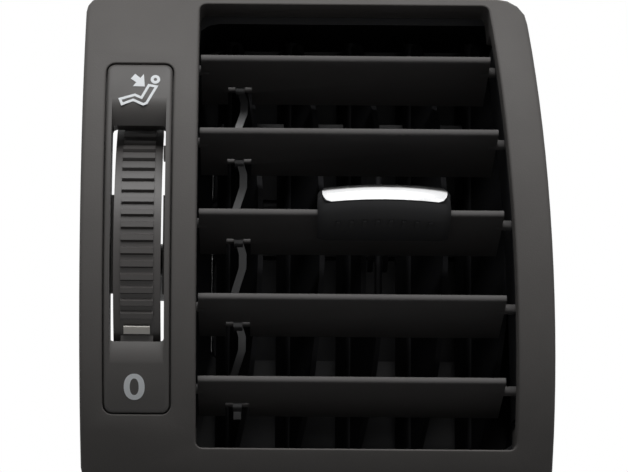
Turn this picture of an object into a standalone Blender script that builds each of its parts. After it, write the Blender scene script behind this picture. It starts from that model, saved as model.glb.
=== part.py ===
"""Dashboard air vent: barrel-faced bezel, tilting vanes, swinging vanes, thumbwheel and shutter.

Frame: +X to the viewer's right, +Y into the dashboard, +Z up. The origin lies on the rear rim of the
bezel's left side wall, at the height of the barrel's axis. The rim's plane, Y = 0, seats on the dash.
"""

import math

import bmesh
import bpy
from mathutils import Matrix, Vector, geometry

MM = 0.001

# Clearances
FIT = 0.3 * MM
PIN_CLEARANCE = 0.3 * MM

# Bezel, its heights as turns about the barrel's axis
WALL = 2.5 * MM
OPENING_HALF = 41.0 * MM
SIDE_PANEL = 28.8 * MM
DUCT_X = OPENING_HALF + SIDE_PANEL
FACE_RADIUS = 107.3 * MM
FACE_DEPTH = 32.3 * MM
BARREL_Y = FACE_RADIUS - FACE_DEPTH
FACE_EDGE = 1.2 * MM
BEZEL_TOP = FACE_RADIUS * math.sin(math.radians(34.0))
BEZEL_BOTTOM = -FACE_RADIUS * math.sin(math.radians(41.0))
BEZEL_CORNER = 8.0 * MM
BEZEL_FOOT_CORNER = 5.0 * MM
RIGHT_STRIP = 9.6 * MM

# Duct opening in the bezel
OPENING_TOP = FACE_RADIUS * math.sin(math.radians(32.4))
OPENING_BOTTOM = -FACE_RADIUS * math.sin(math.radians(34.2))
OPENING_CORNER = 1.8 * MM
SIDE_BOW_RADIUS = 1150.0 * MM
SIDE_BOW_FOOT = BEZEL_BOTTOM - 1.6 * MM
SIDE_BOW_REACH = OPENING_HALF + 1.9 * MM
LIP_DEPTH = 6.8 * MM
LIP_WALL = 2.0 * MM

# Horizontal vanes
VANE_ARC = FACE_RADIUS - 5.0 * MM
VANE_STEP = math.radians(12.3)
VANE_COUNT = 5
VANE_CHORD = 28.0 * MM
VANE_THICKNESS = 2.0 * MM
VANE_TAIL = 1.1 * MM
VANE_PIVOT = 8.0 * MM
VANE_REST_TILT = math.radians(15.0)
VANE_LEFT_GAP = 0.5 * MM
VANE_RIGHT_GAP = 1.2 * MM
VANE_RIGHT_GAP_STEP = 0.4 * MM
PIVOT_PIN_RADIUS = 1.3 * MM

# Link bar of the horizontal vanes
LINK_X = 10.8 * MM - OPENING_HALF
LINK_ARM = 11.5 * MM
LINK_PIN_RADIUS = 0.8 * MM
LINK_EYE_WALL = 1.0 * MM
LINK_WIDTH = 2.0 * MM
LINK_WAVE = 1.3 * MM
LINK_NOTCH = 6.4 * MM

# Bearing strips
STRIP_WALL = 1.4 * MM
STRIP_LEAD = 3.2 * MM
STRIP_SPAN = math.radians(28.0)
STRIP_TUCK = 6.0 * MM
STRIP_BLADE_GAP = 1.5 * MM

# Vertical vanes
BLADE_COUNT = 5
BLADE_PITCH = (OPENING_HALF + 0.5 * MM) * 2 / BLADE_COUNT
BLADE_REACH = 23.0 * MM
BLADE_TAIL = 9.0 * MM
BLADE_THICKNESS = 1.5 * MM
BLADE_SHAFT_RADIUS = 1.8 * MM
BLADE_REST = math.radians(21.0)
BLADE_RUN_GAP = 2.3 * MM
BLADE_END_GAP = 1.2 * MM
DRIVE_BAR_RADIUS = 1.0 * MM
DRIVE_BAR_REACH = 19.0 * MM
DRIVE_WINDOW_TOP = 24.0 * MM
DRIVE_WINDOW_BOTTOM = -26.0 * MM
DRIVE_WINDOW_REACH = 9.0 * MM
BLADE_LINK_Z = 33.0 * MM
BLADE_LINK_ARM = 6.8 * MM
BLADE_LINK_PIN_RADIUS = 0.8 * MM
BLADE_LINK_HEIGHT = 1.5 * MM
BLADE_LINK_DEPTH = 3.8 * MM

# Slider knob, in the middle vane's own frame
KNOB_WIDTH = 34.4 * MM
KNOB_PROUD = 8.0 * MM
KNOB_HEIGHT = 9.3 * MM
KNOB_LIFT = 1.1 * MM
KNOB_TAIL = 11.0 * MM
KNOB_BOW_RADIUS = 56.0 * MM
TRIM_WIDTH = 32.2 * MM
TRIM_HEIGHT = 6.2 * MM
TRIM_LOW = math.radians(12.0)
TRIM_DEPTH = 1.2 * MM
TRIM_PROUD = 0.1 * MM
FORK_TIP = 35.6 * MM
FORK_PRONG = 1.4 * MM
FORK_HEIGHT = 2.0 * MM
FORK_SLOT_START = 21.0 * MM
GRIP_COUNT = 8
GRIP_PITCH = 3.4 * MM
GRIP_RADIUS = 0.5 * MM
GRIP_START = 4.7 * MM
GRIP_LENGTH = 5.3 * MM

# Housing
HOUSING_WALL = 1.6 * MM
FLANGE_THICKNESS = 1.6 * MM
HOUSING_LEFT = -OPENING_HALF - 2.3 * MM
HOUSING_RIGHT = OPENING_HALF + 3.7 * MM
HOUSING_BACK = 36.0 * MM
HOUSING_CORNER = 9.0 * MM
HOUSING_TOP = OPENING_TOP - 1.9 * MM
COLLAR_FRONT = 43.0 * MM
COLLAR_BACK = 76.0 * MM
COLLAR_HALF_WIDTH = OPENING_HALF - 3.0 * MM
COLLAR_HALF_HEIGHT = 30.0 * MM
COLLAR_CORNER = 3.0 * MM
DUCT_MID_Z = -1.4 * MM

# Control surround and thumbwheel
SURROUND_WIDTH = 17.7 * MM
SURROUND_RIGHT = -OPENING_HALF - 6.4 * MM
SURROUND_LEFT = SURROUND_RIGHT - SURROUND_WIDTH
SURROUND_TOP = FACE_RADIUS * math.sin(math.radians(21.5))
SURROUND_BOTTOM = -FACE_RADIUS * math.sin(math.radians(29.1))
SURROUND_CORNER = 2.4 * MM
SURROUND_DEPTH = 10.0 * MM
RAIL = 1.5 * MM
SLOT_TOP = FACE_RADIUS * math.sin(math.radians(12.1))
SLOT_BOTTOM = -FACE_RADIUS * math.sin(math.radians(18.4))
SCOOP_LENGTH = 7.0 * MM
UPPER_SCOOP_DEPTH = 4.6 * MM
LOWER_SCOOP_DEPTH = 3.0 * MM
WHEEL_RADIUS = 39.4 * MM
WHEEL_WIDTH = 12.2 * MM
WHEEL_Y = 7.0 * MM
WHEEL_Z = -8.3 * MM
WHEEL_FRONT = math.radians(186.7)
WHEEL_FROM = math.radians(-64.0)
WHEEL_TO = math.radians(126.0)
WHEEL_PITCH = math.radians(5.0)
RIB_WIDTH = 8.4 * MM
RIB_HEIGHT = 0.9 * MM
RIM_THICKNESS = 3.2 * MM
WEB_THICKNESS = 2.2 * MM
HUB_RADIUS = 4.5 * MM
AXLE_RADIUS = 2.0 * MM
ARM_HEIGHT = 26.0 * MM
MARKER_ANGLE = math.radians(28.6)
MARKER_HEIGHT = 2.05 * MM
MARKER_WIDTH = 6.8 * MM

# Shutter
FLAP_Y = 51.0 * MM
FLAP_HALF_PITCH = 15.0 * MM
FLAP_THICKNESS = 1.6 * MM
FLAP_SHAFT_RADIUS = 2.0 * MM
FOAM_THICKNESS = 2.0 * MM
FLAP_EDGE_GAP = 0.6 * MM
WHEEL_CRANK = 16.0 * MM
WHEEL_CRANK_ANGLE = math.radians(-22.0)
FLAP_CRANK = 10.0 * MM
FLAP_CRANK_ANGLE = math.radians(42.5)
CRANK_PLATE = 1.8 * MM
ROD_WIDTH = 4.4 * MM
ROD_THICKNESS = 1.5 * MM
CRANK_PIN_RADIUS = 1.1 * MM
FLAP_BAR_WIDTH = 9.6 * MM
FLAP_BAR_THICKNESS = 2.5 * MM

# Fasteners and seal
SCREW_RADIUS = 1.5 * MM
SCREW_HEAD_RADIUS = 3.0 * MM
SCREW_HEAD_HEIGHT = 1.8 * MM
BOSS_RADIUS = 3.2 * MM
EAR_THICKNESS = 2.0 * MM
SEAL_WIDTH = 6.0 * MM
SEAL_THICKNESS = 3.0 * MM

ROW_STEP = math.radians(4.0)
ROWS = [FACE_RADIUS * math.sin(ROW_STEP * step) for step in range(-10, 9)]


def clear_scene():
    for obj in list(bpy.data.objects):
        bpy.data.objects.remove(obj, do_unlink=True)


def finish_material(name, color, roughness, metallic=0.0):
    mat = bpy.data.materials.new(name)
    mat.use_nodes = True
    shader = mat.node_tree.nodes["Principled BSDF"]
    shader.inputs["Base Color"].default_value = (*color, 1.0)
    shader.inputs["Roughness"].default_value = roughness
    shader.inputs["Metallic"].default_value = metallic
    return mat


def add_object(name, bm, mat=None, origin=(0.0, 0.0, 0.0)):
    """Turn a mesh drawn in the duct's frame into an object with its origin on the given point."""
    bmesh.ops.recalc_face_normals(bm, faces=bm.faces)
    bm.transform(Matrix.Translation(-Vector(origin)))
    mesh = bpy.data.meshes.new(name)
    bm.to_mesh(mesh)
    bm.free()
    mesh.shade_smooth()
    mesh.set_sharp_from_angle(angle=math.radians(32))
    obj = bpy.data.objects.new(name, mesh)
    obj.location = Vector(origin) + Vector((DUCT_X, 0.0, 0.0))
    bpy.context.collection.objects.link(obj)
    if mat:
        mesh.materials.append(mat)
    return obj


def guide(name, bm):
    """A shape that only cuts or joins another one."""
    obj = add_object(name, bm)
    obj.hide_render = True
    obj.display_type = "WIRE"
    return obj


def boolean(obj, other, operation):
    modifier = obj.modifiers.new(other.name, "BOOLEAN")
    modifier.operation = operation
    modifier.object = other
    modifier.solver = "EXACT"


def cut(obj, name, bm):
    boolean(obj, guide(name, bm), "DIFFERENCE")


def join(obj, name, bm):
    boolean(obj, guide(name, bm), "UNION")


def prism(points, axis, low, high):
    """Extrude a closed outline along an axis; its two coordinates are the other axes in order."""
    bm = bmesh.new()
    others = [index for index in range(3) if index != axis]
    rings = []
    for level in (low, high):
        ring = []
        for first, second in points:
            place = [0.0, 0.0, 0.0]
            place[others[0]] = first
            place[others[1]] = second
            place[axis] = level
            ring.append(bm.verts.new(place))
        rings.append(ring)
    bm.faces.new(rings[0][::-1])
    bm.faces.new(rings[1])
    skin_rings(bm, rings)
    return bm


def skin_rings(bm, rings):
    """Bridge neighbouring rings of equal count with quads."""
    for near, far in zip(rings, rings[1:]):
        count = len(near)
        for index in range(count):
            after = (index + 1) % count
            bm.faces.new((near[index], near[after], far[after], far[index]))


def box(low, high):
    corners = [(low[0], low[1]), (high[0], low[1]), (high[0], high[1]), (low[0], high[1])]
    return prism(corners, 2, low[2], high[2])


def arc(center, radius, start, end, steps):
    """Points on a circle from one angle to the other, both ends included."""
    points = []
    for step in range(steps + 1):
        angle = start + (end - start) * step / steps
        points.append((center[0] + radius * math.cos(angle), center[1] + radius * math.sin(angle)))
    return points


def disc(center, radius, axis, low, high, steps=16):
    return prism(arc(center, radius, 0.0, math.tau, steps)[:-1], axis, low, high)


def slot_outline(start, end, radius, steps=6):
    """Outline of a bar with round ends between two centres."""
    turn = math.atan2(end[1] - start[1], end[0] - start[0])
    quarter = math.pi / 2
    near = arc(start, radius, turn + quarter, turn + 3 * quarter, steps)
    far = arc(end, radius, turn - quarter, turn + quarter, steps)
    return near + far


def barrel_y(z, radius):
    return BARREL_Y - math.sqrt(radius * radius - z * z)


def side_bow(z):
    """X of the opening's bowed right edge."""
    return SIDE_BOW_REACH - (z - SIDE_BOW_FOOT) ** 2 / (2.0 * SIDE_BOW_RADIUS)


def rounded_outline(left, right, low, high, radii, inset, steps=4):
    """Closed outline in X and Z with rounded corners, counter-clockwise from the lower left corner."""
    bottom = low + inset
    top = high - inset

    def corner(side, at_top, start):
        radius = max(radii[(2 if at_top else 0) + (1 if side is right else 0)] - inset, 0.3 * MM)
        z = top - radius if at_top else bottom + radius
        x = side(z) - inset - radius if side is right else side(z) + inset + radius
        return arc((x, z), radius, start, start + math.pi / 2, steps)

    lower_left = corner(left, False, math.pi)
    lower_right = corner(right, False, 1.5 * math.pi)
    upper_right = corner(right, True, 0.0)
    upper_left = corner(left, True, 0.5 * math.pi)
    margin = max(radii) + 1.5 * MM
    levels = [z for z in ROWS if low + margin < z < high - margin]
    right_side = [(right(z) - inset, z) for z in levels]
    left_side = [(left(z) + inset, z) for z in reversed(levels)]
    return lower_left + lower_right + right_side + upper_right + upper_left + left_side


def inside(point, loop):
    """Even-odd test of a point against a closed outline."""
    x, z = point
    hit = False
    for (x0, z0), (x1, z1) in zip(loop, loop[1:] + loop[:1]):
        if (z0 > z) != (z1 > z) and x < x0 + (z - z0) * (x1 - x0) / (z1 - z0):
            hit = not hit
    return hit


def fill_between(bm, rings, loops):
    """Triangulate the region between the first outline and the others, along rows of equal height."""
    points = [Vector(point) for loop in loops for point in loop]
    verts = [vert for ring in rings for vert in ring]
    edges = []
    start = 0
    for loop in loops:
        count = len(loop)
        edges += [(start + index, start + (index + 1) % count) for index in range(count)]
        start += count
    for level in ROWS:
        row = sorted((index for index, p in enumerate(points) if abs(p.y - level) < 1e-7),
                     key=lambda index: points[index].x)
        for first, second in zip(row, row[1:]):
            middle = tuple((points[first] + points[second]) / 2)
            if in_region(middle, loops):
                edges.append((first, second))
    found, _, faces, origin, _, _ = geometry.delaunay_2d_cdt(points, edges, [], 0, 1e-9)
    for face in faces:
        middle = sum((found[index] for index in face), Vector((0.0, 0.0))) / len(face)
        if in_region(tuple(middle), loops):
            bm.faces.new([verts[origin[index][0]] for index in face])


def in_region(point, loops):
    return inside(point, loops[0]) and not any(inside(point, hole) for hole in loops[1:])


def moulding(walls):
    """Closed body between outlines. Each wall is an outline function and its stations front to rear;
    a station is an inset and a function that gives Y at a point of the outline."""
    bm = bmesh.new()
    ends = []
    for outline, stations in walls:
        rings = []
        for inset, depth in stations:
            loop = outline(inset)
            rings.append([bm.verts.new((x, depth(x, z), z)) for x, z in loop])
        skin_rings(bm, rings)
        ends.append((outline, stations, rings))
    for end in (0, -1):
        loops = [outline(stations[end][0]) for outline, stations, rings in ends]
        fill_between(bm, [rings[end] for outline, stations, rings in ends], loops)
    return bm


def edge_stations(radius, face_radius, sign, steps=3):
    """Rounded edge from the barrel face to a wall that runs straight back."""
    stations = []
    for step in range(steps + 1):
        angle = math.pi / 2 * step / steps
        inset = sign * radius * (1.0 - math.sin(angle))
        sink = radius * (1.0 - math.cos(angle))
        stations.append((inset, lambda x, z, sink=sink: barrel_y(z, face_radius) + sink))
    return stations


def pivot_center():
    """Centre in Y and Z of the arc that the horizontal vanes' pivots lie on."""
    return (BARREL_Y + VANE_PIVOT * math.cos(VANE_REST_TILT), -VANE_PIVOT * math.sin(VANE_REST_TILT))


def vane_pivot(index):
    y, z = pivot_center()
    angle = VANE_STEP * ((VANE_COUNT - 1) / 2 - index)
    return (y - VANE_ARC * math.cos(angle), z + VANE_ARC * math.sin(angle))


def strip_ends():
    reach = (VANE_ARC + STRIP_LEAD) * math.sin(STRIP_SPAN)
    return (pivot_center()[1] - reach, pivot_center()[1] + reach)


def bezel_outline(inset):
    radii = (BEZEL_FOOT_CORNER, BEZEL_FOOT_CORNER, BEZEL_FOOT_CORNER, BEZEL_CORNER)
    left = WALL / -2 - DUCT_X
    return rounded_outline(lambda z: left, lambda z: side_bow(z) + RIGHT_STRIP,
                           BEZEL_BOTTOM, BEZEL_TOP, radii, inset)


def opening_outline(inset):
    radii = (OPENING_CORNER,) * 4
    return rounded_outline(lambda z: -OPENING_HALF, side_bow, OPENING_BOTTOM, OPENING_TOP, radii, inset)


def recess_outline(inset):
    radii = (SURROUND_CORNER,) * 4
    return rounded_outline(lambda z: SURROUND_LEFT, lambda z: SURROUND_RIGHT,
                           SURROUND_BOTTOM, SURROUND_TOP, radii, inset)


def barrel_prism(outline, radius, back):
    """Body with a barrel front of the given radius and a flat back."""
    return moulding([(outline, [(0.0, lambda x, z: barrel_y(z, radius)), (0.0, lambda x, z: back)])])


def screw_places():
    panel = (SURROUND_LEFT + SURROUND_RIGHT) / 2
    above = (SURROUND_TOP + BEZEL_TOP) / 2
    below = (SURROUND_BOTTOM + BEZEL_BOTTOM) / 2
    foot = (OPENING_BOTTOM - LIP_WALL + BEZEL_BOTTOM + WALL) / 2
    return [(panel, above), (panel, below), (0.0, foot)]


def make_bezel(mat):
    edge = FACE_EDGE
    outer = edge_stations(edge, FACE_RADIUS, 1) + [(0.0, lambda x, z: 0.0)]
    opening = edge_stations(edge * 0.6, FACE_RADIUS, -1) + [(0.0, lambda x, z: 0.0)]
    recess = edge_stations(edge * 0.5, FACE_RADIUS, -1) + [(0.0, lambda x, z: 0.0)]
    bm = moulding([(bezel_outline, outer), (opening_outline, opening), (recess_outline, recess)])
    obj = add_object("bezel", bm, mat)
    cavity = guide("bezel_cavity", barrel_prism(lambda inset: bezel_outline(WALL), FACE_RADIUS - WALL, WALL))
    tube = prism(opening_outline(-LIP_WALL), 1, -BARREL_Y, BARREL_Y)
    boolean(cavity, guide("bezel_duct_tube", tube), "DIFFERENCE")
    boolean(obj, cavity, "DIFFERENCE")
    strip_low, strip_high = strip_ends()
    window = rounded_outline(lambda z: -OPENING_HALF, side_bow, strip_low - 2 * FIT, strip_high + 2 * FIT,
                             (FIT,) * 4, -LIP_WALL - FIT)
    trim = guide("bezel_trim", prism(window, 1, -BARREL_Y, WALL))
    drum = disc((BARREL_Y, 0.0), FACE_RADIUS - LIP_DEPTH, 0, -BARREL_Y, BARREL_Y, 72)
    boolean(trim, guide("bezel_trim_drum", drum), "INTERSECT")
    boolean(obj, trim, "DIFFERENCE")
    for index, (x, z) in enumerate(screw_places()):
        face = barrel_y(abs(z) + BOSS_RADIUS, FACE_RADIUS) + WALL / 2
        join(obj, f"bezel_boss_{index}", prism(arc((x, z), BOSS_RADIUS, 0.0, math.tau, 16)[:-1], 1, face, 0.0))
        bore = prism(arc((x, z), SCREW_RADIUS + 0.1 * MM, 0.0, math.tau, 12)[:-1], 1, -5.0 * MM, WALL)
        cut(obj, f"bezel_bore_{index}", bore)
    return obj



def round_rect(low_x, high_x, low_z, high_z, radius, steps=4):
    quarter = math.pi / 2
    points = arc((low_x + radius, low_z + radius), radius, 2 * quarter, 3 * quarter, steps)
    points += arc((high_x - radius, low_z + radius), radius, 3 * quarter, 4 * quarter, steps)
    points += arc((high_x - radius, high_z - radius), radius, 0.0, quarter, steps)
    return points + arc((low_x + radius, high_z - radius), radius, quarter, 2 * quarter, steps)


def housing_outline(grow):
    return round_rect(HOUSING_LEFT - grow, HOUSING_RIGHT + grow, OPENING_BOTTOM - grow, HOUSING_TOP + grow,
                      HOUSING_CORNER - HOUSING_WALL + grow)


def collar_outline(grow):
    return round_rect(-COLLAR_HALF_WIDTH - grow, COLLAR_HALF_WIDTH + grow,
                      DUCT_MID_Z - COLLAR_HALF_HEIGHT - grow, DUCT_MID_Z + COLLAR_HALF_HEIGHT + grow,
                      COLLAR_CORNER + grow)


def ring_body(sections):
    """Closed tube through outlines of equal count, each with its Y, back to the first."""
    bm = bmesh.new()
    rings = [[bm.verts.new((x, y, z)) for x, z in outline] for outline, y in sections]
    skin_rings(bm, rings + [rings[0]])
    return bm


def blade_axis():
    """X of the middle vertical vane's axis, and Y of all of them."""
    x = (HOUSING_LEFT + HOUSING_RIGHT) / 2
    y = pivot_center()[0] + VANE_CHORD - VANE_PIVOT - VANE_ARC + BLADE_RUN_GAP + BLADE_REACH
    return x, y


def blade_places():
    x, y = blade_axis()
    return [(x + BLADE_PITCH * (index - (BLADE_COUNT - 1) / 2), y) for index in range(BLADE_COUNT)]


def flap_axes():
    return {"upper": DUCT_MID_Z + FLAP_HALF_PITCH, "lower": DUCT_MID_Z - FLAP_HALF_PITCH}


def make_housing(mat):
    wall = HOUSING_WALL
    sections = [(housing_outline(wall), FIT), (housing_outline(wall), HOUSING_BACK),
                (collar_outline(wall), COLLAR_FRONT), (collar_outline(wall), COLLAR_BACK),
                (collar_outline(0.0), COLLAR_BACK), (collar_outline(0.0), COLLAR_FRONT),
                (housing_outline(0.0), HOUSING_BACK), (housing_outline(0.0), FIT)]
    obj = add_object("housing", ring_body(sections), mat)
    reach = 2 * BARREL_Y
    for index, place in enumerate(blade_places()):
        bore = disc(place, BLADE_SHAFT_RADIUS + PIN_CLEARANCE, 2, -reach, reach, 16)
        cut(obj, f"blade_bore_{index}", bore)
    for name, z in flap_axes().items():
        cut(obj, "flap_bore_" + name, disc((FLAP_Y, z), FLAP_SHAFT_RADIUS + PIN_CLEARANCE, 0, -reach, reach, 16))
    join(obj, "housing_flange", prism(opening_outline(-LIP_WALL), 1, FIT, FIT + FLANGE_THICKNESS))
    cut(obj, "housing_mouth", prism(housing_outline(0.0), 1, FIT - MM, HOUSING_BACK - MM))
    side = HOUSING_LEFT - wall / 8
    half = BOSS_RADIUS + 1.2 * MM
    upper, lower, foot = screw_places()
    bottom = OPENING_BOTTOM - wall / 2
    ears = [((upper[0] - half, upper[1] - 2 * half), (side, upper[1] + half)),
            ((lower[0] - half, lower[1] - half), (side, lower[1] + 2 * half)),
            ((foot[0] - half, foot[1] - half), (foot[0] + half, bottom))]
    for index, ((x0, z0), (x1, z1)) in enumerate(ears):
        join(obj, f"housing_ear_{index}", box((x0, FIT, z0), (x1, FIT + EAR_THICKNESS, z1)))
    for index, place in enumerate(screw_places()):
        bore = disc(place, SCREW_RADIUS + PIN_CLEARANCE, 1, -WALL, 2 * EAR_THICKNESS + FIT, 12)
        cut(obj, f"housing_bore_{index}", bore)
    return obj


def make_screws(mat):
    for index, place in enumerate(screw_places()):
        seat = FIT + EAR_THICKNESS + FIT
        bm = disc(place, SCREW_HEAD_RADIUS, 1, seat, seat + SCREW_HEAD_HEIGHT, 16)
        obj = add_object(f"bezel_screw_{index + 1}", bm, mat)
        join(obj, f"screw_shank_{index}", disc(place, SCREW_RADIUS - FIT, 1, -4.5 * MM, seat + FIT, 12))


def make_strips(mat):
    low, high = strip_ends()
    center = pivot_center()
    lead = VANE_ARC + STRIP_LEAD
    profile = arc(center, lead, math.pi + STRIP_SPAN, math.pi - STRIP_SPAN, 14)
    levels = [high + (low - high) * step / 16 for step in range(17)]
    profile += [(min(STRIP_TUCK, blade_front(z) - STRIP_BLADE_GAP), z) for z in levels]
    inner = -OPENING_HALF - FIT
    left = add_object("bearing_strip_left", prism(profile, 0, inner - STRIP_WALL, inner), mat)
    rows = [low + (high - low) * step / 14 for step in range(15)]
    band = [(side_bow(z) + FIT, z) for z in rows]
    band += [(side_bow(z) + FIT + STRIP_WALL, z) for z in reversed(rows)]
    right = add_object("bearing_strip_right", prism(band, 1, -BARREL_Y, STRIP_TUCK + FIT), mat)
    boolean(right, guide("strip_profile", prism(profile, 0, 0.0, BARREL_Y)), "INTERSECT")
    for index, z in enumerate((low * 0.72, high * 0.8)):
        post = disc(((STRIP_TUCK + FIT) / 2, z), STRIP_TUCK / 2 - 2 * FIT, 0,
                    side_bow(z) + STRIP_WALL / 2, HOUSING_RIGHT - FIT, 16)
        join(right, f"strip_post_{index}", post)
    for index in range(VANE_COUNT):
        bore = disc(vane_pivot(index), PIVOT_PIN_RADIUS + PIN_CLEARANCE, 0, -BARREL_Y, BARREL_Y, 16)
        hole = guide(f"strip_bore_{index}", bore)
        boolean(left, hole, "DIFFERENCE")
        boolean(right, hole, "DIFFERENCE")


def tilted(index, along, above):
    """Y and Z of a point given behind a vane's pivot and above its middle plane, at rest."""
    y, z = vane_pivot(index)
    turn = VANE_REST_TILT
    return (y + along * math.cos(turn) + above * math.sin(turn),
            z - along * math.sin(turn) + above * math.cos(turn))


def vane_section():
    """Half-thickness outline of a vane: behind the pivot, above the middle plane."""
    nose = VANE_THICKNESS / 2
    front = -VANE_PIVOT + nose
    rear = VANE_CHORD - VANE_PIVOT
    points = arc((front, 0.0), nose, math.pi * 1.5, math.pi * 0.5, 6)
    return points + [(rear - 1.0 * MM, VANE_TAIL / 2), (rear, VANE_TAIL / 4),
                     (rear, -VANE_TAIL / 4), (rear - 1.0 * MM, -VANE_TAIL / 2)]


def tilted_prism(points, index, low, high):
    return prism([tilted(index, along, above) for along, above in points], 0, low, high)


def make_vane(index, mat):
    y, z = vane_pivot(index)
    front_z = tilted(index, -VANE_PIVOT, 0.0)[1]
    left = -OPENING_HALF + VANE_LEFT_GAP
    right = side_bow(front_z) - VANE_RIGHT_GAP - VANE_RIGHT_GAP_STEP * index
    bm = tilted_prism(vane_section(), index, left, right)
    obj = add_object(f"horizontal_vane_{index + 1}", bm, mat, (0.0, y, z))
    inset = VANE_THICKNESS
    pin_left = disc((y, z), PIVOT_PIN_RADIUS, 0, -OPENING_HALF - STRIP_WALL, left + inset, 14)
    pin_right = disc((y, z), PIVOT_PIN_RADIUS, 0, right - inset, side_bow(z) + STRIP_WALL, 14)
    join(obj, f"vane_pin_left_{index}", pin_left)
    join(obj, f"vane_pin_right_{index}", pin_right)
    front = LINK_ARM - LINK_PIN_RADIUS - LINK_EYE_WALL - 4 * FIT
    rear = VANE_CHORD
    notch = [(front, -5 * MM), (rear, -5 * MM), (rear, 5 * MM), (front, 5 * MM)]
    half = LINK_NOTCH / 2
    cut(obj, f"vane_notch_{index}", tilted_prism(notch, index, LINK_X - half, LINK_X + half))
    crank = disc(tilted(index, LINK_ARM, 0.0), LINK_PIN_RADIUS, 0, LINK_X - half - MM, LINK_X + half + MM, 12)
    join(obj, f"vane_crank_{index}", crank)


def link_path():
    """Points in Y and Z through the vanes' crank pins, with a sideways wave between them."""
    pins = [tilted(index, LINK_ARM, 0.0) for index in range(VANE_COUNT)]
    end = 4.0 * MM
    path = [(LINK_X, pins[0][0] + end / 3, pins[0][1] + end)]
    steps = 6
    for (y0, z0), (y1, z1) in zip(pins, pins[1:]):
        for step in range(steps):
            part = step / steps
            wave = LINK_WAVE * math.sin(math.tau * part)
            path.append((LINK_X + wave, y0 + (y1 - y0) * part, z0 + (z1 - z0) * part))
    path.append((LINK_X, *pins[-1]))
    path.append((LINK_X, pins[-1][0] + end / 3, pins[-1][1] - end))
    return path


def make_vane_link(mat):
    bm = bmesh.new()
    half_x = LINK_WIDTH / 2
    half_y = LINK_PIN_RADIUS + FIT
    rings = []
    for x, y, z in link_path():
        corners = [(-half_x, -half_y), (half_x, -half_y), (half_x, half_y), (-half_x, half_y)]
        rings.append([bm.verts.new((x + dx, y + dy, z)) for dx, dy in corners])
    skin_rings(bm, rings)
    bm.faces.new(rings[0])
    bm.faces.new(rings[-1])
    middle = tilted(VANE_COUNT // 2, LINK_ARM, 0.0)
    obj = add_object("vane_link", bm, mat, (LINK_X, *middle))
    eye = LINK_PIN_RADIUS + PIN_CLEARANCE
    for index in range(VANE_COUNT):
        center = tilted(index, LINK_ARM, 0.0)
        low, high = LINK_X - half_x * 1.2, LINK_X + half_x * 1.2
        join(obj, f"link_eye_{index}", disc(center, eye + LINK_EYE_WALL, 0, low, high, 16))
    for index in range(VANE_COUNT):
        center = tilted(index, LINK_ARM, 0.0)
        cut(obj, f"link_bore_{index}", disc(center, eye, 0, LINK_X - LINK_NOTCH, LINK_X + LINK_NOTCH, 12))


def knob_x():
    return blade_axis()[0] + DRIVE_BAR_REACH * math.sin(BLADE_REST)


def knob_front(x):
    """How far the knob's bowed front has fallen back at a distance from its middle."""
    return KNOB_BOW_RADIUS - math.sqrt(KNOB_BOW_RADIUS ** 2 - x * x)


def loft(stations, index):
    """Closed body through sections along X, each a list of points in the vane's tilted frame."""
    bm = bmesh.new()
    rings = []
    for x, section in stations:
        places = [tilted(index, along, above) for along, above in section]
        rings.append([bm.verts.new((x, y, z)) for y, z in places])
    skin_rings(bm, rings)
    bm.faces.new(rings[0])
    bm.faces.new(rings[-1])
    return bm


def knob_section(x):
    """Rounded section; its upper front half steps back to seat the trim strip."""
    half_width = KNOB_WIDTH / 2
    end = max(0.0, (abs(x) - half_width + 3.0 * MM) / (3.0 * MM))
    shrink = 1.0 - math.sqrt(max(0.0, 1.0 - 0.85 * end * end))
    front = -VANE_PIVOT - KNOB_PROUD + knob_front(x) + 3.0 * MM * shrink
    rear = -VANE_PIVOT + KNOB_TAIL
    half = KNOB_HEIGHT / 2 * (1.0 - 0.35 * shrink)
    step = TRIM_DEPTH + FIT
    seat_start = math.pi + TRIM_LOW + FIT / (KNOB_HEIGHT / 2)
    seat_end = seat_start - (TRIM_HEIGHT + 2 * FIT) / (KNOB_HEIGHT / 2)
    nose = (front + half, KNOB_LIFT)
    lower = arc(nose, half, math.pi * 1.5, seat_start, 5)
    seat = arc(nose, half - step, seat_start, seat_end, 7)
    crest = arc(nose, half, seat_end, math.pi * 0.5, 2)
    slope = half * 0.72
    return lower + seat + crest + [(rear, slope), (rear, -slope)]


def make_knob(body_mat, trim_mat, fork_mat):
    vane = VANE_COUNT // 2
    middle = knob_x()
    half = KNOB_WIDTH / 2
    places = [-1.0, -0.985, -0.96, -0.92, -0.85, -0.6, -0.3, 0.0, 0.3, 0.6, 0.85, 0.92, 0.96, 0.985, 1.0]
    stations = [(middle + half * part, knob_section(half * part)) for part in places]
    obj = add_object("knob_body", loft(stations, vane), body_mat, (middle, *vane_pivot(vane)))
    room = VANE_THICKNESS / 2 + FIT
    slot = [(-VANE_PIVOT - FIT, -room), (VANE_CHORD, -room), (VANE_CHORD, room), (-VANE_PIVOT - FIT, room)]
    cut(obj, "knob_slot", tilted_prism(slot, vane, -BARREL_Y, BARREL_Y))
    first = middle - GRIP_PITCH * (GRIP_COUNT - 1) / 2
    for index in range(GRIP_COUNT):
        x = first + GRIP_PITCH * index
        along = -VANE_PIVOT - KNOB_PROUD + knob_front(x - middle)
        under = KNOB_LIFT - KNOB_HEIGHT / 2
        start, end = along + GRIP_START, along + GRIP_START + GRIP_LENGTH
        rib = [(start, under + MM), (start, under - GRIP_RADIUS),
               (end - MM, under - GRIP_RADIUS * 0.6), (end, under + MM)]
        join(obj, f"knob_grip_{index}", tilted_prism(rib, vane, x - GRIP_RADIUS, x + GRIP_RADIUS))
    make_trim(trim_mat, vane, middle)
    make_fork(fork_mat, vane, middle)


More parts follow.
